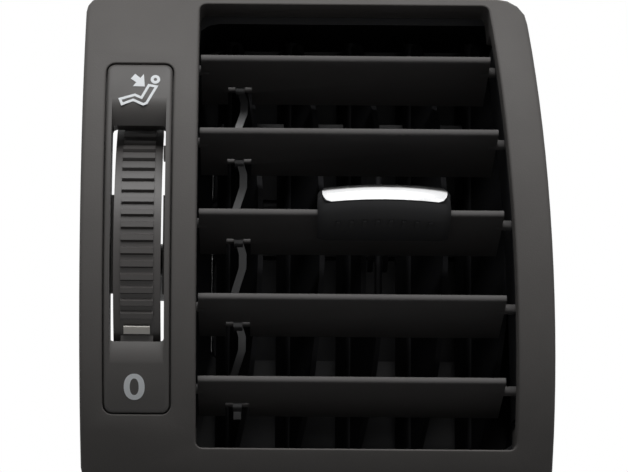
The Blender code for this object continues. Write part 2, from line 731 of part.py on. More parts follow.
def make_trim(mat, vane, middle):
    half = TRIM_WIDTH / 2
    stations = []
    for part in (-1.0, -0.98, -0.94, -0.86, -0.6, -0.3, 0.0, 0.3, 0.6, 0.86, 0.94, 0.98, 1.0):
        x = half * part
        end = max(0.0, (abs(part) - 0.86) / 0.14)
        tall = math.sqrt(max(0.04, 1.0 - end * end))
        outer = KNOB_HEIGHT / 2
        front = -VANE_PIVOT - KNOB_PROUD + knob_front(x)
        mid_turn = math.pi + TRIM_LOW - TRIM_HEIGHT / outer / 2
        spread = TRIM_HEIGHT / outer / 2 * tall
        nose = (front + outer, KNOB_LIFT)
        crest = arc(nose, outer + TRIM_PROUD, mid_turn + spread, mid_turn - spread, 8)
        base = arc(nose, outer - TRIM_DEPTH, mid_turn - spread, mid_turn + spread, 4)
        stations.append((middle + x, crest + base))
    add_object("knob_trim", loft(stations, vane), mat, (middle, *vane_pivot(vane)))


def make_fork(mat, vane, middle):
    y, z = vane_pivot(vane)
    gap = DRIVE_BAR_RADIUS + FIT
    outer = gap + FORK_PRONG
    start = -VANE_PIVOT + KNOB_TAIL + FIT
    above = VANE_THICKNESS / 2 + FIT
    plate = [(start, above), (FORK_TIP, above), (FORK_TIP, above + FORK_HEIGHT), (start, above + FORK_HEIGHT)]
    obj = add_object("knob_fork", tilted_prism(plate, vane, middle - outer, middle + outer), mat, (middle, y, z))
    slot = [(FORK_SLOT_START, -5 * MM), (FORK_TIP + MM, -5 * MM), (FORK_TIP + MM, 9 * MM), (FORK_SLOT_START, 9 * MM)]
    cut(obj, "fork_slot", tilted_prism(slot, vane, middle - gap, middle + gap))


def blade_front(z):
    """Y of a vertical vane's curved front edge at a height."""
    y, mid = pivot_center()
    radius = VANE_ARC - BLADE_RUN_GAP
    return y + VANE_CHORD - VANE_PIVOT - math.sqrt(radius ** 2 - (z - mid) ** 2)


def make_blade(index, mat):
    x, y = blade_places()[index]
    low = OPENING_BOTTOM + BLADE_END_GAP
    high = HOUSING_TOP - BLADE_END_GAP
    driven = index == BLADE_COUNT // 2
    levels = [low + (high - low) * step / 16 for step in range(17)]
    if driven:
        window = (DRIVE_WINDOW_BOTTOM, DRIVE_WINDOW_TOP)
        back = y - DRIVE_WINDOW_REACH
        front = [(blade_front(z), z) for z in levels if z < window[0]] + [(blade_front(window[0]), window[0])]
        front += [(back, window[0]), (back, window[1])]
        front += [(blade_front(window[1]), window[1])] + [(blade_front(z), z) for z in levels if z > window[1]]
    else:
        front = [(blade_front(z), z) for z in levels]
    tail = y + BLADE_TAIL
    notch = y + BLADE_LINK_ARM - BLADE_LINK_DEPTH / 2 - 3 * FIT
    gap = BLADE_LINK_HEIGHT / 2 + FIT
    rear = [(tail, high), (tail, BLADE_LINK_Z + gap), (notch, BLADE_LINK_Z + gap),
            (notch, BLADE_LINK_Z - gap), (tail, BLADE_LINK_Z - gap), (tail, low)]
    half = BLADE_THICKNESS / 2
    turn = Matrix.Translation((x, y, 0.0)) @ Matrix.Rotation(BLADE_REST, 4, "Z") @ Matrix.Translation((-x, -y, 0.0))
    bm = prism(front + rear, 0, x - half, x + half)
    bm.transform(turn)
    obj = add_object(f"vertical_vane_{index + 1}", bm, mat, (x, y, 0.0))
    end = HOUSING_WALL * 0.8
    join(obj, f"blade_shaft_{index}",
         disc((x, y), BLADE_SHAFT_RADIUS, 2, OPENING_BOTTOM - end, HOUSING_TOP + end, 14))
    pin = disc((x, y + BLADE_LINK_ARM), BLADE_LINK_PIN_RADIUS, 2, BLADE_LINK_Z - 2 * gap, BLADE_LINK_Z + 2 * gap, 12)
    pin.transform(turn)
    join(obj, f"blade_pin_{index}", pin)
    if driven:
        bar = disc((x, y - DRIVE_BAR_REACH), DRIVE_BAR_RADIUS, 2, window[0] - 2 * MM, window[1] + 2 * MM, 12)
        bar.transform(turn)
        join(obj, "drive_bar", bar)


def make_blade_link(mat):
    reach = BLADE_LINK_ARM
    places = [(x - reach * math.sin(BLADE_REST), y + reach * math.cos(BLADE_REST)) for x, y in blade_places()]
    half = BLADE_LINK_DEPTH / 2
    outline = slot_outline(places[0], places[-1], half)
    low = BLADE_LINK_Z - BLADE_LINK_HEIGHT / 2
    high = BLADE_LINK_Z + BLADE_LINK_HEIGHT / 2
    middle = places[BLADE_COUNT // 2]
    obj = add_object("vertical_vane_link", prism(outline, 2, low, high), mat, (*middle, BLADE_LINK_Z))
    for index, place in enumerate(places):
        bore = disc(place, BLADE_LINK_PIN_RADIUS + PIN_CLEARANCE, 2, low - MM, high + MM, 12)
        cut(obj, f"blade_link_bore_{index}", bore)



def surround_outline(inset):
    return recess_outline(FIT + inset)


def make_surround(mat):
    edge = FACE_EDGE * 0.6
    behind = FACE_RADIUS - WALL - FIT
    flange = 1.2 * MM
    stations = edge_stations(edge, FACE_RADIUS, 1)
    stations += [(0.0, lambda x, z: barrel_y(z, behind)), (-flange, lambda x, z: barrel_y(z, behind)),
                 (-flange, lambda x, z: barrel_y(z, behind - flange)),
                 (0.0, lambda x, z: barrel_y(z, behind - flange)),
                 (0.0, lambda x, z: barrel_y(z, FACE_RADIUS - SURROUND_DEPTH))]
    obj = add_object("control_surround", moulding([(surround_outline, stations)]), mat)
    left, right = SURROUND_LEFT + FIT + RAIL, SURROUND_RIGHT - FIT - RAIL
    room = 2 * SURROUND_DEPTH
    slot = round_rect(left, right, SLOT_BOTTOM, SLOT_TOP, MM, 2)
    cut(obj, "surround_slot", prism(slot, 1, -BARREL_Y, BARREL_Y))
    ends = (("upper", SLOT_TOP, 1.0, UPPER_SCOOP_DEPTH), ("lower", SLOT_BOTTOM, -1.0, LOWER_SCOOP_DEPTH))
    for name, end, way, depth in ends:
        far = end + way * SCOOP_LENGTH
        near = end - way * MM
        steps = 8
        floor = []
        for step in range(steps + 1):
            part = step / steps
            z = far + (near - far) * part
            sink = depth * (1.0 - math.cos(part * math.pi / 2))
            floor.append((barrel_y(z, FACE_RADIUS) + sink, z))
        front = barrel_y(far, FACE_RADIUS) - room
        scoop = floor + [(front, near), (front, far + way * FIT), (floor[0][0] - FIT, far + way * FIT)]
        cut(obj, "surround_scoop_" + name, prism(scoop, 0, left, right))
        edge_z = SURROUND_TOP if way > 0 else SURROUND_BOTTOM
        limit = edge_z - way * (RAIL + FIT)
        start = far + way * RAIL
        hollow = barrel_y(edge_z, FACE_RADIUS) + WALL
        span = sorted((start, limit))
        cut(obj, "surround_pocket_" + name, box((left, hollow, span[0]), (right, BARREL_Y, span[1])))
    wheel_left, wheel_right = wheel_sides()
    arch = disc((WHEEL_Y, WHEEL_Z), WHEEL_RADIUS + 3 * FIT, 0, wheel_left - 2 * FIT, wheel_right + 2 * FIT, 48)
    cut(obj, "surround_arch", arch)
    make_arms(obj, left, right)
    bore = disc((WHEEL_Y, WHEEL_Z), AXLE_RADIUS + PIN_CLEARANCE, 0, -BARREL_Y, BARREL_Y, 16)
    cut(obj, "surround_bore", bore)
    return obj


def wheel_sides():
    middle = (SURROUND_LEFT + SURROUND_RIGHT) / 2
    return middle - WHEEL_WIDTH / 2, middle + WHEEL_WIDTH / 2


def make_arms(obj, left, right):
    wheel_left, wheel_right = wheel_sides()
    root = barrel_y(WHEEL_Z, FACE_RADIUS - SURROUND_DEPTH) - MM
    half = ARM_HEIGHT / 2
    end = HUB_RADIUS + MM
    profile = [(root, WHEEL_Z - half), (WHEEL_Y, WHEEL_Z - end)]
    profile += arc((WHEEL_Y, WHEEL_Z), end, -math.pi / 2, math.pi / 2, 8)[1:-1]
    profile += [(WHEEL_Y, WHEEL_Z + end), (root, WHEEL_Z + half)]
    join(obj, "surround_arm_left", prism(profile, 0, left - RAIL * 0.9, wheel_left - FIT))
    join(obj, "surround_arm_right", prism(profile, 0, wheel_right + FIT, right + RAIL * 0.9))
    stop_z = SLOT_TOP - 7.0 * MM
    stop_y = barrel_y(stop_z, FACE_RADIUS - SURROUND_DEPTH)
    stop = box((wheel_right + FIT, stop_y - 5 * MM, stop_z - 1.8 * MM), (right + RAIL / 2, stop_y - MM, stop_z + 1.8 * MM))
    join(obj, "surround_stop", stop)


def wheel_point(radius, angle):
    return (WHEEL_Y + radius * math.cos(angle), WHEEL_Z + radius * math.sin(angle))


def marker_angle():
    return WHEEL_FRONT + MARKER_ANGLE


def wheel_band_radius(angle, part):
    """Radius of the ribbed band: rib tops, groove floors, and a flat seat for the marker."""
    floor = WHEEL_RADIUS - RIB_HEIGHT
    seat = (MARKER_HEIGHT / 2 + FIT) / WHEEL_RADIUS
    if abs(angle - marker_angle()) < seat + WHEEL_PITCH / 2:
        return floor
    return WHEEL_RADIUS if part in (0, 1) else floor


def make_wheel(mat):
    left, right = wheel_sides()
    middle = (left + right) / 2
    shoulder = WHEEL_RADIUS - RIB_HEIGHT - 0.2 * MM
    inner = WHEEL_RADIUS - RIM_THICKNESS
    start = WHEEL_FRONT + WHEEL_FROM
    pitches = round((WHEEL_TO - WHEEL_FROM) / WHEEL_PITCH)
    bm = bmesh.new()
    rings = []
    shares = (0.12, 0.52, 0.64, 1.0)
    for pitch in range(pitches):
        for part, share in enumerate(shares):
            angle = start + WHEEL_PITCH * (pitch + share)
            band = wheel_band_radius(angle, part)
            half = RIB_WIDTH / 2
            section = [(left, inner), (left, shoulder), (middle - half, shoulder), (middle - half, band),
                       (middle + half, band), (middle + half, shoulder), (right, shoulder), (right, inner)]
            rings.append([bm.verts.new((x, *wheel_point(radius, angle))) for x, radius in section])
    skin_rings(bm, rings)
    bm.faces.new(rings[0])
    bm.faces.new(rings[-1])
    obj = add_object("thumbwheel", bm, mat, (middle, WHEEL_Y, WHEEL_Z))
    first = start + WHEEL_PITCH * (shares[0] + 0.3)
    last = start + WHEEL_PITCH * (pitches - 0.3)
    web = [wheel_point(HUB_RADIUS - MM, (first + last) / 2 + math.pi)]
    web += arc((WHEEL_Y, WHEEL_Z), inner + MM, first, last, 36)
    half = WEB_THICKNESS / 2
    join(obj, "wheel_web", prism(web, 0, middle - half, middle + half))
    join(obj, "wheel_hub", disc((WHEEL_Y, WHEEL_Z), HUB_RADIUS, 0, left, right, 20))
    crank = wheel_point(WHEEL_CRANK, WHEEL_CRANK_ANGLE)
    arm = slot_outline((WHEEL_Y, WHEEL_Z), crank, HUB_RADIUS * 0.7)
    join(obj, "wheel_crank", prism(arm, 0, right - CRANK_PLATE, right - 0.05 * MM))
    rod_left, rod_right = rod_sides()
    join(obj, "wheel_pin", disc(crank, CRANK_PIN_RADIUS, 0, right - MM, rod_right + FIT / 2, 12))
    cut(obj, "wheel_bore", disc((WHEEL_Y, WHEEL_Z), AXLE_RADIUS + PIN_CLEARANCE, 0, left - MM, right + MM, 16))
    half = MARKER_WIDTH / 2
    spread = MARKER_HEIGHT / 2 / WHEEL_RADIUS
    low = WHEEL_RADIUS - RIB_HEIGHT + FIT
    high = WHEEL_RADIUS + 0.1 * MM
    center = marker_angle()
    outline = [wheel_point(low, center - spread), wheel_point(high, center - spread), wheel_point(high, center),
               wheel_point(high, center + spread), wheel_point(low, center + spread), wheel_point(low, center)]
    add_object("thumbwheel_marker", prism(outline, 0, middle - half, middle + half), marker_white,
               (middle, WHEEL_Y, WHEEL_Z))


def make_axle(mat):
    left = SURROUND_LEFT + FIT - 1.5 * MM
    right = SURROUND_RIGHT - FIT
    obj = add_object("wheel_axle", disc((WHEEL_Y, WHEEL_Z), AXLE_RADIUS, 0, left, right, 16), mat)
    head = disc((WHEEL_Y, WHEEL_Z), AXLE_RADIUS * 1.7, 0, left - MM, left + MM, 16)
    join(obj, "axle_head", head)


def rod_sides():
    """X span of the rod between the thumbwheel and the upper flap, outside the housing's wall."""
    outside = HOUSING_LEFT - HOUSING_WALL
    right = outside - 2.5 * FIT
    return right - ROD_THICKNESS, right


def crank_sides():
    """X span of the flaps' crank plates."""
    right = HOUSING_LEFT + 0.5 * MM
    return right - CRANK_PLATE, right


def flap_link_sides():
    left = crank_sides()[1] + FIT
    return left, left + FLAP_BAR_THICKNESS


def polar(center, radius, angle):
    return (center[0] + radius * math.cos(angle), center[1] + radius * math.sin(angle))


def make_rod(name, mat, start, end, width, sides, origin):
    half = width / 2
    obj = add_object(name, prism(slot_outline(start, end, half), 0, *sides), mat, ((sides[0] + sides[1]) / 2, *origin))
    for index, place in enumerate((start, end)):
        hole = disc(place, CRANK_PIN_RADIUS + PIN_CLEARANCE, 0, sides[0] - MM, sides[1] + MM, 12)
        cut(obj, f"{name}_bore_{index}", hole)


def make_shutter(plate_mat, foam_mat, rod_mat):
    reach_z = FLAP_HALF_PITCH - FLAP_EDGE_GAP
    reach_x = COLLAR_HALF_WIDTH - FLAP_EDGE_GAP
    half = FLAP_THICKNESS / 2
    crank_left, crank_right = crank_sides()
    link_left, link_right = flap_link_sides()
    for name, z in flap_axes().items():
        axis = (FLAP_Y, z)
        outline = round_rect(-reach_x, reach_x, z - reach_z, z + reach_z, COLLAR_CORNER, 3)
        plate = prism(outline, 1, FLAP_Y - half, FLAP_Y + half)
        obj = add_object("shutter_flap_" + name, plate, plate_mat, (0.0, *axis))
        shaft = disc(axis, FLAP_SHAFT_RADIUS, 0, crank_left + FIT / 2, COLLAR_HALF_WIDTH + HOUSING_WALL, 16)
        join(obj, "flap_shaft_" + name, shaft)
        link_pin = polar(axis, FLAP_CRANK, FLAP_CRANK_ANGLE)
        bell = slot_outline(axis, link_pin, ROD_WIDTH / 2)
        join(obj, "flap_crank_" + name, prism(bell, 0, crank_left, crank_right))
        join(obj, "flap_link_pin_" + name,
             disc(link_pin, CRANK_PIN_RADIUS, 0, crank_right - MM, link_right + FIT / 2, 12))
        if name == "upper":
            rod_pin = polar(axis, WHEEL_CRANK, WHEEL_CRANK_ANGLE)
            arm = slot_outline(axis, rod_pin, ROD_WIDTH / 2 + FIT)
            join(obj, "flap_rod_arm", prism(arm, 0, crank_left - 0.05 * MM, crank_right - 0.05 * MM))
            join(obj, "flap_rod_pin", disc(rod_pin, CRANK_PIN_RADIUS, 0, rod_sides()[0] - FIT / 2, crank_left + MM, 12))
        front = FLAP_Y + half + FIT
        foam = prism(outline, 1, front, front + FOAM_THICKNESS)
        foam_obj = add_object("shutter_foam_" + name, foam, foam_mat, (0.0, *axis))
        cut(foam_obj, "foam_groove_" + name, disc(axis, FLAP_SHAFT_RADIUS + FIT, 0, -BARREL_Y, BARREL_Y, 16))
    axes = flap_axes()
    upper = polar((FLAP_Y, axes["upper"]), FLAP_CRANK, FLAP_CRANK_ANGLE)
    lower = polar((FLAP_Y, axes["lower"]), FLAP_CRANK, FLAP_CRANK_ANGLE)
    make_rod("shutter_link", rod_mat, upper, lower, FLAP_BAR_WIDTH, (link_left, link_right), upper)
    near = wheel_point(WHEEL_CRANK, WHEEL_CRANK_ANGLE)
    far = polar((FLAP_Y, axes["upper"]), WHEEL_CRANK, WHEEL_CRANK_ANGLE)
    make_rod("thumbwheel_link", rod_mat, near, far, ROD_WIDTH, rod_sides(), near)


def make_seal(mat):
    inner = HOUSING_WALL + FIT
    outer = inner + SEAL_THICKNESS
    back = COLLAR_BACK - 0.5 * MM
    front = back - SEAL_WIDTH
    sections = [(collar_outline(outer), front), (collar_outline(outer), back),
                (collar_outline(inner), back), (collar_outline(inner), front)]
    add_object("duct_seal", ring_body(sections), mat)


clear_scene()
dark_plastic = finish_material("dark_plastic", (0.115, 0.108, 0.104), 0.55)
black_plastic = finish_material("black_plastic", (0.02, 0.02, 0.022), 0.5)
soft_black = finish_material("soft_black", (0.03, 0.03, 0.032), 0.7)
bright_trim = finish_material("bright_trim", (0.8, 0.8, 0.82), 0.2, 1.0)
marker_white = finish_material("marker_white", (0.6, 0.58, 0.52), 0.5)
foam_gray = finish_material("foam_gray", (0.06, 0.06, 0.065), 0.95)
zinc = finish_material("zinc", (0.5, 0.5, 0.52), 0.35, 1.0)
make_bezel(dark_plastic)
make_housing(black_plastic)
make_screws(zinc)
make_strips(black_plastic)
for vane_index in range(VANE_COUNT):
    make_vane(vane_index, dark_plastic)
make_vane_link(black_plastic)
make_knob(soft_black, bright_trim, black_plastic)
for blade_index in range(BLADE_COUNT):
    make_blade(blade_index, black_plastic)
make_blade_link(black_plastic)
make_surround(dark_plastic)
make_wheel(soft_black)
make_axle(zinc)
make_shutter(black_plastic, foam_gray, black_plastic)
make_seal(foam_gray)
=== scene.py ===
import math
import random

import bmesh
import bpy
from mathutils import Matrix, Vector


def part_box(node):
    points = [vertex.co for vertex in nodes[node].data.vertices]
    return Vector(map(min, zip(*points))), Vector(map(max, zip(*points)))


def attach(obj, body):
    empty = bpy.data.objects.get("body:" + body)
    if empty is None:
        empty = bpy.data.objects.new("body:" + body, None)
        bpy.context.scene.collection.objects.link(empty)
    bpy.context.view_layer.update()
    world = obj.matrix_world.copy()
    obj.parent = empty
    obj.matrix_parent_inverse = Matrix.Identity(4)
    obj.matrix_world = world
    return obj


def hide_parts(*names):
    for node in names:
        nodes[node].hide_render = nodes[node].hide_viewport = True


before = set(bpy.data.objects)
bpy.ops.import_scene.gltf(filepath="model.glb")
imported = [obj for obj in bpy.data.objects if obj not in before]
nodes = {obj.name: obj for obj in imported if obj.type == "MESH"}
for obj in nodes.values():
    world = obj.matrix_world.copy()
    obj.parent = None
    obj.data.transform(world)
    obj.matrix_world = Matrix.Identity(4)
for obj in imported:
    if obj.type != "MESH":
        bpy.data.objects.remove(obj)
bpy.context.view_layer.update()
MM = 0.001

# Bezel: one injection-moulded cover in warm charcoal plastic, its barrel-shaped face textured with
# the fine grain of dashboard mouldings. It is clipped into the dashboard and carries all the rest.
BEZEL_RIM = 0.25 * MM
BEZEL_DARK = (0.098, 0.093, 0.090)
BEZEL_LIGHT = (0.118, 0.112, 0.108)
BEZEL_GRAIN_SIZE = 0.42 * MM
BEZEL_GRAIN_DEPTH = 0.035 * MM
CREASE = math.radians(32.0)


def welded_shading():
    """Modifier group that joins the facets of a moulding and shades its curves smooth."""
    group = bpy.data.node_groups.new("welded_shading", "GeometryNodeTree")
    group.interface.new_socket("Geometry", in_out="INPUT", socket_type="NodeSocketGeometry")
    group.interface.new_socket("Geometry", in_out="OUTPUT", socket_type="NodeSocketGeometry")
    start = group.nodes.new("NodeGroupInput")
    end = group.nodes.new("NodeGroupOutput")
    weld = group.nodes.new("GeometryNodeMergeByDistance")
    weld.inputs["Distance"].default_value = 0.002 * MM
    faces = group.nodes.new("GeometryNodeSetShadeSmooth")
    faces.domain = "FACE"
    faces.inputs["Shade Smooth"].default_value = True
    turn = group.nodes.new("GeometryNodeInputMeshEdgeAngle")
    steep = group.nodes.new("FunctionNodeCompare")
    steep.data_type = "FLOAT"
    steep.operation = "GREATER_THAN"
    steep.inputs["B"].default_value = CREASE
    rims = group.nodes.new("GeometryNodeSetShadeSmooth")
    rims.domain = "EDGE"
    rims.inputs["Shade Smooth"].default_value = False
    link = group.links.new
    link(start.outputs[0], weld.inputs["Geometry"])
    link(weld.outputs["Geometry"], faces.inputs["Geometry"])
    link(faces.outputs["Geometry"], rims.inputs["Geometry"])
    link(turn.outputs["Unsigned Angle"], steep.inputs["A"])
    link(steep.outputs["Result"], rims.inputs["Selection"])
    link(rims.outputs["Geometry"], end.inputs[0])
    return group


SHADING = welded_shading()


def mould_edges(piece, rim, steps=2):
    """Gives a moulding the soft rims that its tool leaves."""
    smooth = piece.modifiers.new("welded_shading", "NODES")
    smooth.node_group = SHADING
    if rim > 0.0:
        soft = piece.modifiers.new("soft_rims", "BEVEL")
        soft.width = rim
        soft.segments = steps
        soft.limit_method = "ANGLE"
        soft.angle_limit = CREASE
        soft.harden_normals = True


def moulded_grain():
    """Surface of a grained tool: a normal, a mottle mask and a roughness mask."""
    group = bpy.data.node_groups.new("moulded_grain", "ShaderNodeTree")
    for name, value in (("Cell Size", 0.4), ("Depth", 0.03)):
        socket = group.interface.new_socket(name, in_out="INPUT", socket_type="NodeSocketFloat")
        socket.default_value = value
    group.interface.new_socket("Normal", in_out="OUTPUT", socket_type="NodeSocketVector")
    group.interface.new_socket("Mottle", in_out="OUTPUT", socket_type="NodeSocketFloat")
    group.interface.new_socket("Polish", in_out="OUTPUT", socket_type="NodeSocketFloat")
    start = group.nodes.new("NodeGroupInput")
    end = group.nodes.new("NodeGroupOutput")
    place = group.nodes.new("ShaderNodeTexCoord")
    count = group.nodes.new("ShaderNodeMath")
    count.operation = "DIVIDE"
    count.inputs[0].default_value = 1000.0
    pebbles = group.nodes.new("ShaderNodeTexVoronoi")
    pebbles.feature = "SMOOTH_F1"
    fine = group.nodes.new("ShaderNodeTexNoise")
    fine.inputs["Scale"].default_value = 5200.0
    fine.inputs["Detail"].default_value = 2.0
    heap = group.nodes.new("ShaderNodeMath")
    heap.operation = "ADD"
    depth = group.nodes.new("ShaderNodeMath")
    depth.operation = "DIVIDE"
    depth.inputs[1].default_value = 1000.0
    bump = group.nodes.new("ShaderNodeBump")
    bump.inputs["Strength"].default_value = 0.55
    cloud = group.nodes.new("ShaderNodeTexNoise")
    cloud.inputs["Scale"].default_value = 95.0
    cloud.inputs["Detail"].default_value = 5.0
    smear = group.nodes.new("ShaderNodeTexNoise")
    smear.inputs["Scale"].default_value = 38.0
    smear.inputs["Detail"].default_value = 3.0
    link = group.links.new
    link(start.outputs["Cell Size"], count.inputs[1])
    link(count.outputs[0], pebbles.inputs["Scale"])
    for texture in (pebbles, fine, cloud, smear):
        link(place.outputs["Object"], texture.inputs["Vector"])
    link(pebbles.outputs["Distance"], heap.inputs[0])
    link(fine.outputs["Fac"], heap.inputs[1])
    link(heap.outputs[0], bump.inputs["Height"])
    link(start.outputs["Depth"], depth.inputs[0])
    link(depth.outputs[0], bump.inputs["Distance"])
    link(bump.outputs["Normal"], end.inputs["Normal"])
    link(cloud.outputs["Fac"], end.inputs["Mottle"])
    link(smear.outputs["Fac"], end.inputs["Polish"])
    return group


GRAIN = moulded_grain()


def moulded_plastic(name, dark, light, gloss, size, depth, sheen=0.3):
    """Plastic with a tool's grain, slightly mottled; gloss is its lowest and highest roughness."""
    mat = bpy.data.materials.new(name)
    mat.use_nodes = True
    tree = mat.node_tree
    shader = tree.nodes["Principled BSDF"]
    shader.inputs["Specular IOR Level"].default_value = sheen
    grain = tree.nodes.new("ShaderNodeGroup")
    grain.node_tree = GRAIN
    grain.inputs["Cell Size"].default_value = size / MM
    grain.inputs["Depth"].default_value = depth / MM
    tint = tree.nodes.new("ShaderNodeMix")
    tint.data_type = "RGBA"
    tint.inputs["A"].default_value = (*dark, 1.0)
    tint.inputs["B"].default_value = (*light, 1.0)
    rough = tree.nodes.new("ShaderNodeMapRange")
    rough.inputs["To Min"].default_value = gloss[0]
    rough.inputs["To Max"].default_value = gloss[1]
    tree.links.new(grain.outputs["Mottle"], tint.inputs["Factor"])
    tree.links.new(tint.outputs["Result"], shader.inputs["Base Color"])
    tree.links.new(grain.outputs["Polish"], rough.inputs["Value"])
    tree.links.new(rough.outputs["Result"], shader.inputs["Roughness"])
    tree.links.new(grain.outputs["Normal"], shader.inputs["Normal"])
    return mat


def dress(name, material, rim, steps=2):
    """Puts the finished material and soft rims on a part of the frame."""
    part = nodes[name]
    for place in part.material_slots:
        place.material = material
    mould_edges(part, rim, steps)
    return part


bezel_plastic = moulded_plastic("bezel_plastic_finish", BEZEL_DARK, BEZEL_LIGHT, (0.5, 0.68),
                                BEZEL_GRAIN_SIZE, BEZEL_GRAIN_DEPTH, 0.2)
dress("bezel", bezel_plastic, BEZEL_RIM)

# Housing and bearing strips: black duct shell behind the bezel, narrowing to the collar, with two
# carriers for the vanes' pivots. Plain polypropylene mouldings, satin, screwed behind the bezel.
DUCT_DARK = (0.0075, 0.0075, 0.0085)
DUCT_LIGHT = (0.0125, 0.0125, 0.014)
duct_plastic = moulded_plastic("duct_plastic_finish", DUCT_DARK, DUCT_LIGHT, (0.42, 0.6),
                               0.9 * MM, 0.02 * MM, 0.25)
dress("housing", duct_plastic, 0.25 * MM)
dress("bearing_strip_left", duct_plastic, 0.15 * MM)
dress("bearing_strip_right", duct_plastic, 0.15 * MM)

# Control surround: an inset panel of smoother, darker satin plastic round the thumbwheel. A scoop
# leads the thumb into the slot at each end, and a thin raised rail frames it.
SURROUND_DARK = (0.072, 0.068, 0.066)
SURROUND_LIGHT = (0.086, 0.082, 0.079)
surround_plastic = moulded_plastic("surround_plastic_finish", SURROUND_DARK, SURROUND_LIGHT,
                                   (0.42, 0.56), 0.3 * MM, 0.012 * MM)
dress("control_surround", surround_plastic, 0.2 * MM)

# Printed marks: a numeral for the shut end of the wheel and the usual airflow sign at the open end,
# pad-printed in pale paint on the surround, a few hundredths of a millimetre thick.
FACE_RADIUS = 107.3
FACE_AXIS_Y = 75.0
PAINT_PROUD = 0.035
PAINT_ROOT = 0.25
PAINT_STEP = 0.6
ZERO_MIDDLE = (13.0, -45.42)
ZERO_OUTER = (2.70, 3.24)
ZERO_INNER = (1.16, 2.06)
ZERO_SQUARENESS = 2.2
SIGN_HEAD = (17.61, 34.72)
SIGN_HEAD_RADII = (1.24, 0.44)
SIGN_STROKE = 0.68
SIGN_SEAT = [(8.5, 29.13), (12.35, 30.31), (14.11, 29.51), (15.96, 33.06), (17.92, 32.7),
             (15.42, 28.01), (14.57, 27.67), (11.97, 28.9), (9.08, 27.73)]
SIGN_ARROW = [(14.9, 32.68), (14.57, 36.24), (13.67, 35.11), (12.3, 36.3), (11.18, 34.9),
              (12.66, 33.86), (11.76, 32.74)]


def on_face(x, z, proud):
    """Point of the surround's barrel face under a mark, in metres."""
    y = FACE_AXIS_Y - math.sqrt((FACE_RADIUS + proud) ** 2 - z * z)
    return x * MM, y * MM, z * MM


def dense_loop(points, step):
    """The same closed line with corners kept and long sides cut into short steps."""
    out = []
    for here, there in zip(points, points[1:] + points[:1]):
        cuts = max(1, round(math.dist(here, there) / step))
        out += [(here[0] + (there[0] - here[0]) * k / cuts, here[1] + (there[1] - here[1]) * k / cuts)
                for k in range(cuts)]
    return out


def skin(bm, rings, closed=False):
    """Faces between rings of equal counts; closed joins the last ring to the first."""
    pairs = list(zip(rings, rings[1:]))
    if closed:
        pairs.append((rings[-1], rings[0]))
    for first, second in pairs:
        count = len(first)
        for k in range(count):
            bm.faces.new((first[k], first[(k + 1) % count], second[(k + 1) % count], second[k]))


def painted_band(bm, outer, inner):
    """Paint between two closed lines with equal numbers of points."""
    rings = []
    for line, proud in ((outer, -PAINT_ROOT), (outer, PAINT_PROUD),
                        (inner, PAINT_PROUD), (inner, -PAINT_ROOT)):
        rings.append([bm.verts.new(on_face(x, z, proud)) for x, z in line])
    skin(bm, rings)


def painted_field(bm, line):
    """Paint inside one convex-cornered line, filled from its middle."""
    middle = [sum(p[k] for p in line) / len(line) for k in (0, 1)]
    rings = [[bm.verts.new(on_face(x, z, -PAINT_ROOT)) for x, z in line]]
    for share in (0.0, 0.5):
        rings.append([bm.verts.new(on_face(x + (middle[0] - x) * share, z + (middle[1] - z) * share,
                                           PAINT_PROUD)) for x, z in line])
    skin(bm, rings)
    heart = bm.verts.new(on_face(*middle, PAINT_PROUD))
    last = rings[-1]
    for k in range(len(last)):
        bm.faces.new((last[k], last[(k + 1) % len(last)], heart))


def rounded_line(middle, halves, squareness, steps=56):
    """Closed oval; a squareness of 2 is an ellipse, and more is fuller at the corners."""
    out = []
    for k in range(steps):
        turn = 2.0 * math.pi * k / steps
        c, s = math.cos(turn), math.sin(turn)
        out.append((middle[0] + halves[0] * math.copysign(abs(c) ** (2.0 / squareness), c),
                    middle[1] + halves[1] * math.copysign(abs(s) ** (2.0 / squareness), s)))
    return out


def offset_line(points, away):
    """Closed line moved sideways by a distance, with mitred corners."""
    out = []
    count = len(points)
    for k in range(count):
        before, here, after = (Vector(points[(k + d) % count]) for d in (-1, 0, 1))
        first = (here - before).normalized()
        second = (after - here).normalized()
        side = Vector((first.y + second.y, -first.x - second.x)).normalized()
        reach = away / max(0.45, side.dot(Vector((first.y, -first.x))))
        out.append(tuple(here + side * reach))
    return out


def finish_mesh(name, bm, material, body):
    """Turns the mesh into a named piece that rides on its body."""
    bmesh.ops.recalc_face_normals(bm, faces=bm.faces)
    mesh = bpy.data.meshes.new(name)
    bm.to_mesh(mesh)
    bm.free()
    piece = bpy.data.objects.new(name, mesh)
    bpy.context.scene.collection.objects.link(piece)
    mesh.materials.append(material)
    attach(piece, body)
    return piece


mark_paint = moulded_plastic("mark_paint", (0.76, 0.79, 0.82), (0.84, 0.87, 0.89), (0.45, 0.6),
                             0.25 * MM, 0.006 * MM)
numeral = bmesh.new()
painted_band(numeral, rounded_line(ZERO_MIDDLE, ZERO_OUTER, ZERO_SQUARENESS),
             rounded_line(ZERO_MIDDLE, ZERO_INNER, ZERO_SQUARENESS))
finish_mesh("mark_zero", numeral, mark_paint, "root")
sign = bmesh.new()
painted_band(sign, rounded_line(SIGN_HEAD, (SIGN_HEAD_RADII[0],) * 2, 2.0, 32),
             rounded_line(SIGN_HEAD, (SIGN_HEAD_RADII[1],) * 2, 2.0, 32))
seat_line = dense_loop(SIGN_SEAT, PAINT_STEP)
painted_band(sign, offset_line(seat_line, SIGN_STROKE / 2), offset_line(seat_line, -SIGN_STROKE / 2))
painted_field(sign, dense_loop(SIGN_ARROW, PAINT_STEP))
finish_mesh("mark_airflow_sign", sign, mark_paint, "root")

